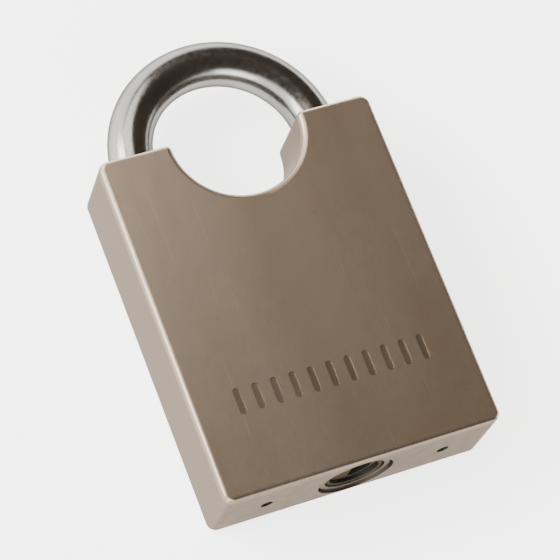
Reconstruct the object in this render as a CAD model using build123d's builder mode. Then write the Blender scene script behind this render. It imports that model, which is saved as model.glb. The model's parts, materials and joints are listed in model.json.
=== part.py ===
"""Rectangular disc-detainer padlock with a round sliding shackle.

The lock lies on its back.  +X is to the right, +Y towards the shackle, +Z out of the front face.
The origin is the centre of the case's back face.  Lengths are millimetres.
"""

from build123d import *
import math
import os

# ---- case ----
case_width = 60.0
case_height = 75.0
case_depth = 20.0
wall_side = 3.0
wall_front = 1.8
cover_thickness = 1.8
cover_chamfer = 0.3
corner_radius = 2.0
inner_corner_radius = 0.8
front_edge_radius = 1.0
back_edge_radius = 1.6
recess_edge_radius = 1.2
mark_count = 11
mark_pitch = 4.0
mark_width = 1.5
mark_height = 5.6
mark_depth = 0.25
mark_y = -18.5
fit_gap = 0.05
mid_z = case_depth / 2
bottom_y = -case_height / 2
top_y = case_height / 2

# ---- round shackle, a part ring that slides about its own centre ----
ring_y = top_y - 0.85
ring_radius = 20.25
bar_radius = 4.75
channel_gap = 0.3
recess_radius = 14.0
recess_wall = 1.3
toe_angle = -12.0
heel_angle = 290.0
shackle_end_radius = 0.9

# ---- drive between the key cylinder and the shackle ----
crown_pin_count = 6
crown_pitch_radius = 4.2
crown_pin_radius = 0.9
ring_tooth_pitch = 12.0
tooth_count = 8
first_tooth_angle = -90 + ring_tooth_pitch
tooth_run_out = 2.0
tooth_floor_radius = 19.7
tooth_tip_radius = 23.0
tooth_level = 2.9
gap_width_low = 3.7
gap_width_high = 2.7
gap_height = 2.6
crown_start = ring_y - 28.3
crown_face = ring_y - 23.4
crown_pin_start = crown_start + 2.0
crown_pin_end = ring_y - 19.9
crown_radius = 5.4
crown_room_radius = 6.1
crown_room_end = ring_y - 18.7
crown_screw_radius = 1.2
crown_screw_head = 2.3
crown_screw_length = 5.0
screw_slot_width = 0.6
screw_slot_depth = 0.55

# ---- key cylinder, turned about a line along Y ----
barrel_start = bottom_y + 0.6
barrel_collar_radius = 8.0
barrel_collar_reach = 0.5
barrel_chamfer = 0.5
barrel_radius = 7.5
barrel_bore = 6.4
barrel_end = crown_start - 4.0
barrel_end_wall = 3.0
core_radius = 6.34
core_chamfer = 0.35
core_start = barrel_start + 0.3
core_shoulder = barrel_end - barrel_end_wall - 0.6
chamber_radius = 5.3
stem_radius = 4.0
stem_bore = 4.08
square_side = 4.2
square_start = crown_start - 1.0
stem_end = crown_start + 4.0
washer_thickness = 0.5
clip_thickness = 0.8
clip_groove_depth = 0.8
clip_height = 1.6
clip_mouth = 4.6

# ---- disc pack ----
disc_count = 9
disc_radius = 5.22
disc_thickness = 1.45
spacer_thickness = 0.6
guard_thickness = 1.8
guard_start = core_start + 0.7
pack_start = guard_start + guard_thickness
disc_pitch = disc_thickness + spacer_thickness
pack_length = disc_pitch * disc_count
pack_end = pack_start + pack_length
chamber_end = pack_end + 2.2
pack_gap = 0.02
key_radius = 3.9
key_flat = 0.4
gate_width = 1.75
gate_floor = 4.6
sidebar_width = 1.6
sidebar_height = 1.6
sidebar_edge_radius = 0.3
sidebar_centre = core_radius - 0.9
sidebar_groove_width = 2.4
sidebar_groove_depth = 0.7
spring_radius = 5.95
spring_wire = 0.3
spring_offset = 0.9
spring_arc = 300
spring_places = [pack_start - spring_offset, pack_end + spring_offset]

# ---- fasteners ----
retaining_pin_x = 19.4
retaining_pin_radius = 1.25
retaining_pin_wall = 0.4
retaining_pin_length = 16.0
retaining_pin_depth = 1.4
rivet_radius = 1.8
rivet_head_rise = 0.8
rivet_length = 6.5
screw_radius = 1.5
screw_head_radius = 2.7
screw_head_height = 3.0
screw_length = 12.5
screw_start = cover_thickness + 0.1
screw_clearance = 0.2
socket_radius = 1.4
socket_depth = 1.6
tangent_pin_radius = 1.0
tangent_pin_x = 8.0
tangent_pin_y = -22.0
tangent_pin_length = 12.0

key_axis = Axis((0, 0, mid_z), (0, 1, 0))
ring_axis = Axis((0, ring_y, 0), (0, 0, 1))
mid_plane = Plane.XY.offset(mid_z)
tangent_pin_places = [(-tangent_pin_x, tangent_pin_y), (tangent_pin_x, tangent_pin_y)]
retaining_places = [(-retaining_pin_x, 0), (retaining_pin_x, 0)]
rivet_places = [(x, y) for x in (-22.0, 22.0) for y in (-28.0, 4.0)]
screw_places = [(-14.0, -14.0), (14.0, -14.0), (-23.5, 15.0), (23.5, 15.0)]
inner_width = case_width - 2 * wall_side
inner_height = case_height - 2 * wall_side

os.makedirs("parts", exist_ok=True)


def cross_plane(y):
    """Plane square to the key cylinder at height y; its X is +X and its Y is towards the back."""
    return Plane(origin=(0, y, mid_z), x_dir=(1, 0, 0), z_dir=(0, 1, 0))


def ring_plane(angle):
    """Plane that cuts the ring at an angle from +X; its X points outwards and its Y is +Z."""
    turn = math.radians(angle)
    outward = (math.cos(turn), math.sin(turn), 0)
    return Plane(origin=(0, ring_y, mid_z), x_dir=outward, z_dir=(outward[1], -outward[0], 0))


def tangent_plane(angle, radius):
    """Plane that faces outwards from the ring's centre; its X runs along the ring, its Y is +Z."""
    turn = math.radians(angle)
    outward = (math.cos(turn), math.sin(turn), 0)
    centre = (radius * outward[0], ring_y + radius * outward[1], mid_z)
    return Plane(origin=centre, x_dir=(-outward[1], outward[0], 0), z_dir=outward)


def save(builder, name):
    """Label a finished piece and write it as one STEP file."""
    builder.part.label = name
    export_step(builder.part, f"parts/{name}.step")


# ---- shared hollows: the ring's channel, the inside of the case and the cylinder's seat ----
with BuildPart() as channel:
    with BuildSketch(ring_plane(0)):
        with Locations((ring_radius, 0)):
            Circle(bar_radius + channel_gap)
    revolve(axis=ring_axis)

with BuildSketch() as inner_outline:
    RectangleRounded(inner_width, inner_height, inner_corner_radius)
    with Locations((0, ring_y)):
        Circle(recess_radius + recess_wall, mode=Mode.SUBTRACT)

with BuildPart() as cylinder_seat:
    with BuildSketch(cross_plane(bottom_y)):
        Circle(barrel_collar_radius + fit_gap)
    extrude(amount=wall_side + barrel_collar_reach + fit_gap)
    with BuildSketch(cross_plane(bottom_y)):
        Circle(barrel_radius + fit_gap)
    extrude(amount=barrel_end - bottom_y + fit_gap)
    with BuildSketch(cross_plane(barrel_end)):
        Circle(crown_room_radius)
    extrude(amount=crown_room_end - barrel_end)

with BuildPart() as retaining_holes:
    with BuildSketch(cross_plane(bottom_y)):
        with Locations(*retaining_places):
            Circle(retaining_pin_radius + fit_gap)
    extrude(amount=retaining_pin_depth + retaining_pin_length)

# ---- case body: front wall, sides and the wall round the recess, open at the back ----
with BuildPart() as case_body:
    with BuildSketch():
        RectangleRounded(case_width, case_height, corner_radius)
    extrude(amount=case_depth)
    front_edges = case_body.faces().sort_by(Axis.Z)[-1].edges()
    fillet(front_edges, front_edge_radius)
    back_edges = case_body.faces().sort_by(Axis.Z)[0].edges()
    fillet(back_edges, back_edge_radius)
    with BuildSketch():
        with Locations((0, ring_y)):
            Circle(recess_radius)
    extrude(amount=case_depth, mode=Mode.SUBTRACT)
    rim_arcs = case_body.edges().filter_by(GeomType.CIRCLE).filter_by(
        lambda edge: abs(edge.radius - recess_radius) < 0.01
    )
    fillet(rim_arcs, recess_edge_radius)
    add(extrude(inner_outline.sketch, amount=case_depth - wall_front, mode=Mode.PRIVATE), mode=Mode.SUBTRACT)
    add(channel.part, mode=Mode.SUBTRACT)
    with BuildSketch(cross_plane(bottom_y)):
        Circle(barrel_collar_radius + fit_gap)
    extrude(amount=wall_side, mode=Mode.SUBTRACT)
    add(retaining_holes.part, mode=Mode.SUBTRACT)
    with BuildSketch(Plane.XY.offset(case_depth - mark_depth)):
        with Locations((0, mark_y)):
            with GridLocations(mark_pitch, 1, mark_count, 1):
                SlotOverall(mark_height, mark_width, rotation=90)
    extrude(amount=mark_depth, mode=Mode.SUBTRACT)
save(case_body, "case_body")

# ---- rear cover: inset plate held by four rivets ----
with BuildPart() as rear_cover:
    with BuildSketch():
        offset(inner_outline.sketch, amount=-fit_gap)
    extrude(amount=cover_thickness)
    chamfer(rear_cover.faces().sort_by(Axis.Z)[0].edges(), cover_chamfer)
    with Locations(*[Location((x, y, 0), (180, 0, 0)) for x, y in rivet_places]):
        CounterSinkHole(
            radius=rivet_radius,
            counter_sink_radius=rivet_radius + rivet_head_rise + fit_gap,
            depth=cover_thickness,
            counter_sink_angle=90,
        )
save(rear_cover, "rear_cover")

with BuildPart() as cover_rivets:
    with BuildSketch():
        with Locations(*rivet_places):
            Circle(rivet_radius - fit_gap)
    extrude(amount=rivet_length)
    with BuildSketch():
        with Locations(*rivet_places):
            Circle(rivet_radius + rivet_head_rise)
    extrude(amount=rivet_head_rise, taper=45)
save(cover_rivets, "cover_rivets")

# ---- inner block: two halves that meet at the middle and hold everything that turns ----
with BuildPart() as block:
    with BuildSketch(Plane.XY.offset(cover_thickness + fit_gap)):
        offset(inner_outline.sketch, amount=-fit_gap)
    extrude(amount=case_depth - wall_front - cover_thickness - 2 * fit_gap)
    add(channel.part, mode=Mode.SUBTRACT)
    add(cylinder_seat.part, mode=Mode.SUBTRACT)
    add(retaining_holes.part, mode=Mode.SUBTRACT)
    with BuildSketch():
        with Locations(*rivet_places):
            Circle(rivet_radius)
    extrude(amount=rivet_length, mode=Mode.SUBTRACT)
    with BuildSketch(Plane.XY.offset(cover_thickness)):
        with Locations(*screw_places):
            Circle(screw_radius + fit_gap)
    extrude(amount=screw_length + 2 * screw_clearance, mode=Mode.SUBTRACT)
    with BuildSketch(Plane.XY.offset(cover_thickness)):
        with Locations(*screw_places):
            Circle(screw_head_radius + screw_clearance)
    extrude(amount=screw_head_height + screw_clearance, mode=Mode.SUBTRACT)
    with BuildSketch(Plane.XY.offset(mid_z - tangent_pin_length / 2)):
        with Locations(*tangent_pin_places):
            Circle(tangent_pin_radius + fit_gap)
    extrude(amount=tangent_pin_length, mode=Mode.SUBTRACT)

with BuildPart() as inner_block_front:
    add(block.part)
    split(bisect_by=mid_plane, keep=Keep.TOP)
save(inner_block_front, "inner_block_front")

with BuildPart() as inner_block_rear:
    add(block.part)
    split(bisect_by=mid_plane, keep=Keep.BOTTOM)
save(inner_block_rear, "inner_block_rear")

with BuildPart() as block_screws:
    with BuildSketch(Plane.XY.offset(screw_start)):
        with Locations(*screw_places):
            Circle(screw_head_radius)
    extrude(amount=screw_head_height)
    with BuildSketch(Plane.XY.offset(screw_start)):
        with Locations(*screw_places):
            Circle(screw_radius)
    extrude(amount=screw_length)
    with BuildSketch(Plane.XY.offset(screw_start)):
        with Locations(*screw_places):
            RegularPolygon(socket_radius, 6)
    extrude(amount=socket_depth, mode=Mode.SUBTRACT)
save(block_screws, "block_screws")

# ---- spring pins behind the two small holes beside the cylinder ----
with BuildPart() as retaining_pins:
    with BuildSketch(cross_plane(bottom_y + retaining_pin_depth)):
        with Locations(*retaining_places):
            Circle(retaining_pin_radius)
            Circle(retaining_pin_radius - retaining_pin_wall, mode=Mode.SUBTRACT)
    extrude(amount=retaining_pin_length)
save(retaining_pins, "retaining_pins")

# ---- shackle: part ring with a toothed sector cut into its hidden end ----
sector_start = -90 - ring_tooth_pitch * (tooth_count - 2) - ring_tooth_pitch / 2
sector_arc = heel_angle - 360 - sector_start + tooth_run_out
with BuildPart() as shackle:
    with BuildSketch(ring_plane(toe_angle)):
        with Locations((ring_radius, 0)):
            Circle(bar_radius)
    revolve(axis=ring_axis, revolution_arc=heel_angle - toe_angle)
    end_edges = shackle.edges().filter_by(GeomType.CIRCLE).filter_by(
        lambda edge: abs(edge.radius - bar_radius) < 0.01 and edge.length > 6 * bar_radius
    )
    fillet(end_edges, shackle_end_radius)
    with BuildSketch(ring_plane(sector_start)):
        with Locations((tooth_floor_radius, tooth_level)):
            Rectangle(2 * bar_radius, 2 * bar_radius, align=(Align.MIN, Align.MAX))
        with Locations((tooth_tip_radius, 0)):
            Rectangle(bar_radius, 3 * bar_radius, align=(Align.MIN, Align.CENTER))
    revolve(axis=ring_axis, revolution_arc=sector_arc, mode=Mode.SUBTRACT)
    for tooth in range(tooth_count):
        with BuildSketch(tangent_plane(first_tooth_angle - ring_tooth_pitch * tooth, tooth_floor_radius)):
            with BuildLine():
                Polyline(
                    (-gap_width_low / 2, tooth_level - fit_gap),
                    (gap_width_low / 2, tooth_level - fit_gap),
                    (gap_width_high / 2, tooth_level + gap_height),
                    (-gap_width_high / 2, tooth_level + gap_height),
                    close=True,
                )
            make_face()
        extrude(amount=bar_radius, mode=Mode.SUBTRACT)
save(shackle, "shackle")

# ---- cylinder barrel: fixed housing with a collar at the keyway end and a groove for the sidebar ----
with BuildPart() as cylinder_barrel:
    with BuildSketch(cross_plane(barrel_start)):
        Circle(barrel_collar_radius)
    extrude(amount=bottom_y + wall_side + barrel_collar_reach - barrel_start)
    with BuildSketch(cross_plane(barrel_start)):
        Circle(barrel_radius)
    extrude(amount=barrel_end - barrel_start)
    chamfer(cylinder_barrel.faces().sort_by(Axis.Y)[0].outer_wire().edges(), barrel_chamfer)
    with BuildSketch(cross_plane(barrel_start)):
        Circle(barrel_bore)
    extrude(amount=barrel_end - barrel_end_wall - barrel_start, mode=Mode.SUBTRACT)
    with BuildSketch(cross_plane(barrel_start)):
        Circle(stem_bore)
    extrude(amount=barrel_end - barrel_start, mode=Mode.SUBTRACT)
    with BuildSketch(cross_plane(pack_start)):
        with Locations((0, -barrel_bore)):
            Rectangle(sidebar_groove_width, 2 * sidebar_groove_depth)
    extrude(amount=pack_length, mode=Mode.SUBTRACT)
    with BuildSketch(Plane.XY.offset(mid_z - tangent_pin_length / 2)):
        with Locations(*tangent_pin_places):
            Circle(tangent_pin_radius + fit_gap)
    extrude(amount=tangent_pin_length, mode=Mode.SUBTRACT)
save(cylinder_barrel, "cylinder_barrel")

with BuildPart() as cylinder_pins:
    with BuildSketch(Plane.XY.offset(mid_z - tangent_pin_length / 2)):
        with Locations(*tangent_pin_places):
            Circle(tangent_pin_radius)
    extrude(amount=tangent_pin_length)
save(cylinder_pins, "cylinder_pins")

# ---- core: slotted cup that carries the discs, with a stem that drives the crown ----
with BuildPart() as core:
    with BuildSketch(cross_plane(core_start)):
        Circle(core_radius)
    extrude(amount=core_shoulder - core_start)
    chamfer(core.faces().sort_by(Axis.Y)[0].edges(), core_chamfer)
    with BuildSketch(cross_plane(core_shoulder)):
        Circle(stem_radius)
    extrude(amount=square_start - core_shoulder)
    with BuildSketch(cross_plane(square_start)):
        Rectangle(square_side, square_side)
    extrude(amount=stem_end - square_start)
    with BuildSketch(cross_plane(core_start)):
        Circle(chamber_radius)
    extrude(amount=chamber_end - core_start, mode=Mode.SUBTRACT)
    with BuildSketch(cross_plane(pack_start - spring_offset - spring_wire)):
        with Locations((0, -core_radius)):
            Rectangle(gate_width, 4 * (core_radius - chamber_radius))
    extrude(amount=pack_length + 2 * (spring_offset + spring_wire), mode=Mode.SUBTRACT)
    for place in spring_places:
        with BuildSketch(cross_plane(place - spring_wire - fit_gap)):
            Circle(core_radius + fit_gap)
            Circle(spring_radius - spring_wire - fit_gap, mode=Mode.SUBTRACT)
        extrude(amount=2 * (spring_wire + fit_gap), mode=Mode.SUBTRACT)
    with BuildSketch(cross_plane(barrel_end + 4 * fit_gap)):
        Circle(stem_radius + fit_gap)
        Circle(stem_radius - clip_groove_depth, mode=Mode.SUBTRACT)
    extrude(amount=clip_thickness + 4 * fit_gap, mode=Mode.SUBTRACT)
    with BuildSketch(cross_plane(stem_end - crown_screw_length - 2)):
        Circle(crown_screw_radius + fit_gap)
    extrude(amount=crown_screw_length + 2, mode=Mode.SUBTRACT)
save(core, "core")


def keyed_disc(start, thickness, gated):
    """Disc with a half-round key opening and, on a locking disc, a gate in its rim at the front."""
    with BuildPart() as piece:
        with BuildSketch(cross_plane(start)):
            Circle(disc_radius)
            with BuildSketch(mode=Mode.SUBTRACT):
                Circle(key_radius)
                with Locations((-key_flat, 0)):
                    Rectangle(
                        key_radius,
                        2 * key_radius,
                        align=(Align.MAX, Align.CENTER),
                        mode=Mode.SUBTRACT,
                    )
            if gated:
                with Locations((0, -disc_radius)):
                    Rectangle(gate_width, 2 * (disc_radius - gate_floor), mode=Mode.SUBTRACT)
        extrude(amount=thickness)
    return piece


# ---- guard disc at the keyway, then the pack of locking discs ----
guard_disc = keyed_disc(guard_start, guard_thickness - fit_gap, False)
save(guard_disc, "guard_disc")

for number in range(disc_count):
    locking_disc = keyed_disc(pack_start + disc_pitch * number, disc_thickness, True)
    save(locking_disc, f"disc_{number + 1}")

with BuildPart() as disc_spacers:
    for number in range(disc_count):
        with BuildSketch(cross_plane(pack_start + disc_pitch * number + disc_thickness + pack_gap)):
            Circle(disc_radius)
            Circle(key_radius + 3 * fit_gap, mode=Mode.SUBTRACT)
            with Locations((0, -disc_radius)):
                Rectangle(gate_width, 2 * (disc_radius - gate_floor), mode=Mode.SUBTRACT)
        extrude(amount=spacer_thickness - 2 * pack_gap)
save(disc_spacers, "disc_spacers")

with BuildPart() as end_washer:
    with BuildSketch(cross_plane(pack_end)):
        Circle(disc_radius)
        Circle(key_radius + 6 * fit_gap, mode=Mode.SUBTRACT)
    extrude(amount=chamber_end - pack_end - pack_gap)
save(end_washer, "end_washer")

# ---- sidebar, drawn into the lined-up gates, and the two wire springs that hold it out ----
with BuildPart() as sidebar:
    with BuildSketch(cross_plane(pack_start + fit_gap)):
        with Locations((0, -sidebar_centre)):
            RectangleRounded(sidebar_width, sidebar_height, sidebar_edge_radius)
    extrude(amount=pack_length - 2 * fit_gap)
save(sidebar, "sidebar")

with BuildPart() as sidebar_springs:
    for place in spring_places:
        with BuildSketch(mid_plane):
            with Locations((spring_radius, place)):
                Circle(spring_wire)
        revolve(axis=key_axis, revolution_arc=spring_arc)
save(sidebar_springs, "sidebar_springs")

# ---- behind the core: thrust washer, retaining clip, and the crown that drives the shackle ----
with BuildPart() as thrust_washer:
    with BuildSketch(cross_plane(core_shoulder + fit_gap)):
        Circle(barrel_bore - 2 * fit_gap)
        Circle(stem_bore, mode=Mode.SUBTRACT)
    extrude(amount=washer_thickness)
save(thrust_washer, "thrust_washer")

with BuildPart() as core_clip:
    with BuildSketch(cross_plane(barrel_end + 6 * fit_gap)):
        Circle(stem_radius + clip_height)
        Circle(stem_radius - clip_groove_depth + fit_gap, mode=Mode.SUBTRACT)
        with Locations((0, stem_radius)):
            Rectangle(clip_mouth, 2 * stem_radius, mode=Mode.SUBTRACT)
    extrude(amount=clip_thickness)
save(core_clip, "core_clip")

with BuildPart() as drive_crown:
    with BuildSketch(cross_plane(crown_start)):
        Circle(crown_radius)
    extrude(amount=crown_face - crown_start)
    with BuildSketch(cross_plane(crown_start)):
        Rectangle(square_side + 2 * fit_gap, square_side + 2 * fit_gap)
    extrude(amount=stem_end - crown_start, mode=Mode.SUBTRACT)
    with BuildSketch(cross_plane(crown_pin_start)):
        with PolarLocations(crown_pitch_radius, crown_pin_count, start_angle=90):
            Circle(crown_pin_radius + pack_gap)
    extrude(amount=crown_face - crown_pin_start, mode=Mode.SUBTRACT)
    with BuildSketch(cross_plane(stem_end)):
        Circle(crown_screw_head + 2 * fit_gap)
    extrude(amount=crown_face - stem_end, mode=Mode.SUBTRACT)
save(drive_crown, "drive_crown")

with BuildPart() as crown_pins:
    with BuildSketch(cross_plane(crown_pin_start)):
        with PolarLocations(crown_pitch_radius, crown_pin_count, start_angle=90):
            Circle(crown_pin_radius)
    extrude(amount=crown_pin_end - crown_pin_start)
    chamfer(crown_pins.faces().sort_by(Axis.Y)[-crown_pin_count:].edges(), 4 * fit_gap)
save(crown_pins, "crown_pins")

with BuildPart() as crown_screw:
    with BuildSketch(cross_plane(stem_end)):
        Circle(crown_screw_head)
    extrude(amount=crown_face - stem_end - fit_gap)
    with BuildSketch(cross_plane(stem_end - crown_screw_length)):
        Circle(crown_screw_radius)
    extrude(amount=crown_screw_length)
    with BuildSketch(cross_plane(crown_face - screw_slot_depth)):
        Rectangle(screw_slot_width, 2 * crown_screw_head + 1)
    extrude(amount=1, mode=Mode.SUBTRACT)
save(crown_screw, "crown_screw")
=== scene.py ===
"""Looks of the rectangular padlock: plated steel, polished shackle, studio floor, lights and camera."""

import json
import math

import bpy
from mathutils import Matrix, Vector


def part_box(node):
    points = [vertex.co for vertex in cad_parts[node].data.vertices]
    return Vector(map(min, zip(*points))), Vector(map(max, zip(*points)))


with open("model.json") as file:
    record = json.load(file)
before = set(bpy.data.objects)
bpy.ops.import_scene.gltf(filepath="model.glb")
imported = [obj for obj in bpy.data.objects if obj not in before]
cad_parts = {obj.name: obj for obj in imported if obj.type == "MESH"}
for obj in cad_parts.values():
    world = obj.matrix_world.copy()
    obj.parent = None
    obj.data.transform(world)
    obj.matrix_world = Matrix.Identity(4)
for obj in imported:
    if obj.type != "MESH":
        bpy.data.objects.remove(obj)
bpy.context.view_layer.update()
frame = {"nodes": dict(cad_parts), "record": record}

MM = 0.001
NODES = frame["nodes"]

# ---- places taken from the frame ----
case_low, case_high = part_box("case_body")
mid_z = (case_low.z + case_high.z) / 2
shackle_low, shackle_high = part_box("shackle")
ring_y = shackle_high.y - (shackle_high.x - shackle_low.x) / 2
recess_radius = 14 * MM


# ---- node helpers ----
class Recipe:
    """A material or a world being built: short calls that add nodes and link them."""

    def __init__(self, name, group=bpy.data.materials, shader="Principled BSDF"):
        self.owner = group.new(name)
        self.owner.use_nodes = True
        self.tree = self.owner.node_tree
        self.shader = self.tree.nodes[shader]

    def add(self, kind, **inputs):
        node = self.tree.nodes.new(kind)
        for key, value in inputs.items():
            self.feed(node, key, value)
        return node

    def feed(self, node, key, value):
        socket = node.inputs[key] if isinstance(key, int) else node.inputs[key.replace("_", " ")]
        if isinstance(value, bpy.types.NodeSocket):
            self.tree.links.new(value, socket)
        else:
            socket.default_value = value

    def axes(self, kind="Object"):
        """X, Y and Z of the object coordinates in metres, or of a world direction."""
        coord = self.add("ShaderNodeTexCoord")
        split = self.add("ShaderNodeSeparateXYZ", Vector=coord.outputs[kind])
        return split.outputs

    def noise(self, scale, detail=4.0, rough=0.55, turn=(0, 0, 0)):
        """Noise in object coordinates; scale is one number for each axis, in bumps per metre."""
        coord = self.add("ShaderNodeTexCoord")
        mapping = self.add("ShaderNodeMapping", Vector=coord.outputs["Object"], Scale=scale, Rotation=turn)
        node = self.add("ShaderNodeTexNoise", Vector=mapping.outputs[0], Scale=1.0, Detail=detail)
        self.feed(node, "Roughness", rough)
        return node.outputs["Fac"]

    def span(self, value, low, high, out_low=0.0, out_high=1.0):
        """Maps low..high to out_low..out_high, smoothly and clamped."""
        node = self.tree.nodes.new("ShaderNodeMapRange")
        node.interpolation_type = "SMOOTHSTEP"
        for index, item in enumerate((value, low, high, out_low, out_high)):
            self.feed(node, index, item)
        return node.outputs[0]

    def math(self, operation, first, second=0.0):
        node = self.tree.nodes.new("ShaderNodeMath")
        node.operation = operation
        self.feed(node, 0, first)
        self.feed(node, 1, second)
        return node.outputs[0]

    def product(self, first, *others):
        for value in others:
            first = self.math("MULTIPLY", first, value)
        return first

    def distance(self, across, along):
        """Length of the line from the origin to (across, along)."""
        return self.math("SQRT", self.math("ADD", self.product(across, across), self.product(along, along)))

    def mix(self, amount, first, second):
        """Colour mix; its sockets are 0 for the amount, 6 and 7 for the colours and 2 for the result."""
        node = self.tree.nodes.new("ShaderNodeMix")
        node.data_type = "RGBA"
        self.feed(node, 0, amount)
        for index, colour in ((6, first), (7, second)):
            self.feed(node, index, colour if isinstance(colour, bpy.types.NodeSocket) else (*colour, 1.0))
        return node.outputs[2]

    def bump(self, height, distance, under=None):
        node = self.add("ShaderNodeBump", Height=height, Distance=distance, Strength=1.0)
        if under is not None:
            self.feed(node, "Normal", under)
        return node.outputs[0]

    def finish(self, **inputs):
        for key, value in inputs.items():
            self.feed(self.shader, key, value)
        return self.owner

    def metal(self, grazing, **inputs):
        """Bare metal; the grazing colour dims what it mirrors at a shallow angle."""
        self.shader.inputs["Metallic"].default_value = 1.0
        self.shader.inputs["Specular Tint"].default_value = (*grazing, 1.0)
        return self.finish(**inputs)


def scaled(colour, *factors):
    """The colour times one factor, or times one factor for each channel."""
    if len(factors) == 1:
        factors = factors * 3
    return tuple(channel * factor for channel, factor in zip(colour, factors))


# ---- areas of the case, found from object coordinates; the lock lies on its back, front up ----
front = case_high.z
side = case_high.x
bottom = case_low.y
front_round = 1.0 * MM
engraving_depths = (0.20 * MM, 0.30 * MM)
engraving_margin = 3 * MM
engraving_darkness = 0.62
edge_width = 0.45 * MM
edge_fade = 0.40 * MM
edge_darkness = 0.80
left_edge_lightening = 0.12
rim_width = 0.7 * MM
rim_fade = 0.5 * MM
rim_darkness = 0.72


def engraved_area(r, x, y, z):
    """1 on the floor of the engraved bars and 0 on the rest of the front."""
    least_depth, most_depth = engraving_depths
    fade = 1 * MM
    sunk = r.span(z, front - least_depth, front - 0.08 * MM, 1.0, 0.0)
    near_front = r.span(z, front - 0.35 * MM, front - most_depth)
    last_bar = side - engraving_margin
    inboard = r.span(r.math("ABSOLUTE", x), last_bar, last_bar + fade, 1.0, 0.0)
    lower_half = r.span(y, 0.0, fade, 1.0, 0.0)
    above_edge = r.span(y, bottom + engraving_margin, bottom + engraving_margin + fade)
    return r.product(sunk, near_front, inboard, lower_half, above_edge)


def edge_shade(r, x, y, z):
    """Darkness of the front's side and lower edges; the left edge is a little paler."""
    side_edge = r.span(r.math("ABSOLUTE", x), side - edge_width - edge_fade, side - edge_width)
    lower_edge = r.span(y, bottom + edge_width, bottom + edge_width + edge_fade, 1.0, 0.0)
    near_front = r.span(z, front - 1.4 * MM, front - front_round)
    edge = r.product(r.math("MAXIMUM", side_edge, lower_edge), near_front)
    paler = r.product(r.span(x, -1 * MM, 1 * MM, left_edge_lightening, 0.0), side_edge)
    return r.math("SUBTRACT", r.product(edge, edge_darkness), paler)


def rim_shade(r, x, y):
    """Darkness of the rounded rim of the recess; 0 on the front away from it."""
    reach = r.distance(x, r.math("SUBTRACT", y, ring_y))
    rim_reach = recess_radius + rim_width
    return r.span(reach, rim_reach, rim_reach + rim_fade, rim_darkness, 0.0)


def side_painted_shade(r, y, colour):
    """Side faces darkened as painted shade, darkest on the lower one, where noise also lays stains."""
    lower_face = r.span(y, bottom + 0.2 * MM, bottom + 0.6 * MM, 1.0, 0.0)
    stain = r.noise((420, 420, 420), 5.0, 0.65)
    # the lower face gets painted shade everywhere, and stains where the noise is high
    stain_and_shade = r.product(lower_face, r.span(stain, 0.35, 0.70, 0.10, 0.55))
    return r.mix(stain_and_shade, scaled(colour, 0.30, 0.32, 0.35), scaled(colour, 0.15))


def case_tint(r, tint, colour):
    """The plate's tint with the engraving, the painted shade of the edges and of the recess rim, and the
    painted shade of the side faces laid over it.
    """
    x, y, z = r.axes()
    tint = r.mix(r.product(engraved_area(r, x, y, z), engraving_darkness), tint, scaled(colour, 0.35))
    tint = r.mix(edge_shade(r, x, y, z), tint, scaled(colour, 0.10))
    tint = r.mix(rim_shade(r, x, y), tint, scaled(colour, 0.30))
    # painted shade: every face below the rounded front takes the darkened side colour
    side_face = r.span(z, front - 1.6 * MM, front - front_round, 1.0, 0.0)
    return r.mix(side_face, tint, side_painted_shade(r, y, colour))


# ---- materials ----
ALONG_X = 0
ALONG_Y = 1


def along_grain(grain_axis, across, along):
    """Noise scale that is across in two directions and along in the grain's direction."""
    return [along if axis == grain_axis else across for axis in range(3)]


def satin_plate(name, colour, grain_axis, is_case):
    """Satin nickel over ground steel: long clouds, blotches, a fine grain, hairlines and dark specks."""
    r = Recipe(name)
    grain = r.noise(along_grain(grain_axis, 2600, 400), 2.0, 0.5)
    cloud = r.noise(along_grain(grain_axis, 70, 9), 2.0, 0.5)
    hairline = r.noise(along_grain(grain_axis, 1100, 28), 1.0, 0.5, turn=(0, 0, 0.05))
    blotch = r.noise((38, 38, 38), 3.0, 0.5)
    speck = r.noise((700, 700, 700), 2.0, 0.5)
    tint = r.mix(r.span(cloud, 0.35, 0.65), colour, scaled(colour, 0.80))
    tint = r.mix(r.span(blotch, 0.45, 0.70, 0.0, 0.50), tint, scaled(colour, 0.86, 0.80, 0.72))
    tint = r.mix(r.span(grain, 0.40, 0.75, 0.0, 0.10), tint, scaled(colour, 1.3))
    tint = r.mix(r.span(speck, 0.70, 0.78, 0.0, 0.25), tint, scaled(colour, 0.5))
    tint = r.mix(r.span(hairline, 0.68, 0.76, 0.0, 0.22), tint, scaled(colour, 1.35))
    if is_case:
        tint = case_tint(r, tint, colour)
    rough = r.math("ADD", r.span(grain, 0.3, 0.7, 0.31, 0.33), r.span(cloud, 0.3, 0.7, -0.01, 0.04))
    relief = r.bump(cloud, 0.08 * MM)
    relief = r.bump(blotch, 0.12 * MM, under=relief)
    return r.metal((0.43, 0.395, 0.365), Base_Color=tint, Roughness=rough, Normal=relief)


def plain_metal(name, colour, rough, scale=900.0, depth=0.01):
    """Machined or polished metal with faint marks, scale to the metre and depth millimetres deep."""
    r = Recipe(name)
    marks = r.noise((scale, scale, scale), 4.0, 0.6)
    cloud = r.noise((90, 90, 90), 2.0, 0.5)
    tint = r.mix(r.span(cloud, 0.3, 0.7), colour, scaled(colour, 0.8))
    roughness = r.span(marks, 0.3, 0.7, rough * 0.8, rough * 1.25)
    relief = r.bump(marks, depth * MM)
    return r.metal((0.28, 0.275, 0.265), Base_Color=tint, Roughness=roughness, Normal=relief)


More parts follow.
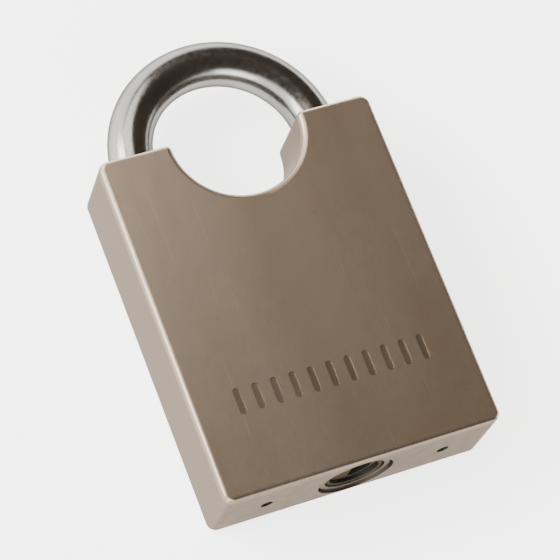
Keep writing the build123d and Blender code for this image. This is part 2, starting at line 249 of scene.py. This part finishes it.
def turned_metal(name, colour, rough):
    """Steel turned about the key axis: fine rings and darker stains."""
    ring_pitch = 0.22 * MM
    r = Recipe(name)
    x, _, z = r.axes()
    reach = r.distance(x, r.math("SUBTRACT", z, mid_z))
    rings = r.math("SINE", r.product(reach, 2 * math.pi / ring_pitch))
    stain = r.noise((700, 700, 700), 4.0, 0.6)
    tint = r.mix(r.span(stain, 0.40, 0.72, 0.0, 0.6), colour, scaled(colour, 0.5))
    roughness = r.span(stain, 0.3, 0.7, rough * 0.85, rough * 1.35)
    relief = r.bump(rings, 0.004 * MM)
    relief = r.bump(stain, 0.02 * MM, under=relief)
    return r.metal((0.32, 0.30, 0.27), Base_Color=tint, Roughness=roughness, Normal=relief)


MATERIALS = {
    "case_steel": satin_plate("satin_nickel", (0.565, 0.468, 0.378), ALONG_Y, is_case=True),
    "cover_steel": satin_plate("satin_nickel_cover", (0.50, 0.42, 0.345), ALONG_X, is_case=False),
    "block_zinc": plain_metal("cast_block", (0.30, 0.30, 0.31), rough=0.5, scale=700, depth=0.03),
    "shackle_steel": plain_metal(
        "polished_shackle", (0.24, 0.235, 0.225), rough=0.21, scale=1200, depth=0.002,
    ),
    "cylinder_steel": turned_metal("turned_barrel", (0.20, 0.18, 0.16), rough=0.33),
    "core_steel": turned_metal("turned_core", (0.10, 0.09, 0.08), rough=0.34),
    # painted shade: the disc brass is near black so the deep keyway reads dark
    "disc_brass": plain_metal("brass_painted_keyway_shade", (0.024, 0.018, 0.011), rough=0.45),
    "hardware_steel": plain_metal("zinc_hardware", (0.28, 0.28, 0.29), rough=0.35),
    "spring_steel": plain_metal("spring_wire", (0.22, 0.22, 0.23), rough=0.3),
}


def assign_materials():
    for entry in frame["record"]["subparts"]:
        mesh = NODES[entry["node"]].data
        mesh.materials.clear()
        mesh.materials.append(MATERIALS[entry["material_slot"]])


# ---- stage ----
HORIZON = 5.0
DIM_SKY = (0.030, 0.024, 0.018)
floor_reach = 8.0
floor_gap = 0.05 * MM
floor_glow = 3.0
glow_start = 0.15
glow_end = 1.6
horizon_fade = (0.25, 0.62)
right_dimming = 0.45


def make_floor():
    """Pale floor that fades into the studio's bright horizon far away from the lock."""
    mesh = bpy.data.meshes.new("floor")
    corners = [(x * floor_reach, y * floor_reach, 0) for x, y in ((-1, -1), (1, -1), (1, 1), (-1, 1))]
    mesh.from_pydata(corners, [], [(0, 1, 2, 3)])
    floor = bpy.data.objects.new("floor", mesh)
    bpy.context.scene.collection.objects.link(floor)
    floor.location.z = -floor_gap
    r = Recipe("pale_floor")
    grain = r.noise((30, 30, 30))
    tint = r.mix(grain, (0.90, 0.895, 0.89), (0.93, 0.925, 0.92))
    x, y, _ = r.axes()
    glow = r.span(r.distance(x, y), glow_start, glow_end, floor_glow, HORIZON * 0.9)
    pale = (1.0, 0.99, 0.98, 1.0)
    r.finish(Base_Color=tint, Roughness=0.8, Emission_Color=pale, Emission_Strength=glow)
    mesh.materials.append(r.owner)


def make_world():
    """Bright horizon, taller on the left than on the right; brown and dim overhead."""
    r = Recipe("studio", bpy.data.worlds, "Background")
    x, _, z = r.axes("Generated")
    towards_right = r.product(x, r.span(z, 0.05, 0.20, 0.0, right_dimming))
    dimming = r.span(r.math("ADD", z, towards_right), *horizon_fade)
    sky = r.mix(dimming, (1.0, 0.985, 0.97), DIM_SKY)
    bpy.context.scene.world = r.finish(Color=sky, Strength=HORIZON)


def area_light(name, place, aim, size, power, colour=(1, 1, 1)):
    """Rectangular lamp, places and size in metres, power in watts."""
    data = bpy.data.lights.new(name, "AREA")
    data.shape = "RECTANGLE"
    data.size, data.size_y = size
    data.energy = power
    data.color = colour
    lamp = bpy.data.objects.new(name, data)
    bpy.context.scene.collection.objects.link(lamp)
    lamp.location = place
    lamp.rotation_euler = (Vector(aim) - Vector(place)).to_track_quat("-Z", "Y").to_euler()


def make_lights():
    centre = (0, 0, 0)
    upper_half = (0, 0.02, 0)
    pale = (1.0, 0.98, 0.96)
    warm = (1.0, 0.93, 0.86)
    area_light("left_softbox", (-1.7, 0.7, 1.2), centre, size=(1.6, 1.2), power=85, colour=pale)
    area_light("front_softbox", (-0.6, -1.9, 1.0), centre, size=(1.6, 0.9), power=25)
    panel_place = (-0.09, 0.30, 0.42)
    area_light("upper_left_panel", panel_place, upper_half, size=(0.26, 0.26), power=1.2, colour=warm)


# ---- camera: the photograph's direction, roll and closeness, centred on the lock ----
view_azimuth = math.radians(-47)
view_elevation = math.radians(64.5)
view_roll = math.radians(28.2)
view_distance = 0.52
view_lens = 167
view_aim = Vector((-3.0 * MM, 3.2 * MM, case_high.z))


def make_camera():
    level = math.cos(view_elevation)
    height = math.sin(view_elevation)
    back = Vector((level * math.sin(view_azimuth), -level * math.cos(view_azimuth), height))
    right = Vector((0, 0, 1)).cross(back).normalized()
    right = Matrix.Rotation(view_roll, 3, back) @ right
    data = bpy.data.cameras.new("camera")
    data.lens = view_lens
    data.clip_start = 0.01
    camera = bpy.data.objects.new("camera", data)
    bpy.context.scene.collection.objects.link(camera)
    turn = Matrix((right, back.cross(right), back)).transposed().to_4x4()
    camera.matrix_world = Matrix.Translation(view_aim + back * view_distance) @ turn
    bpy.context.scene.camera = camera


assign_materials()
make_floor()
make_world()
make_lights()
make_camera()
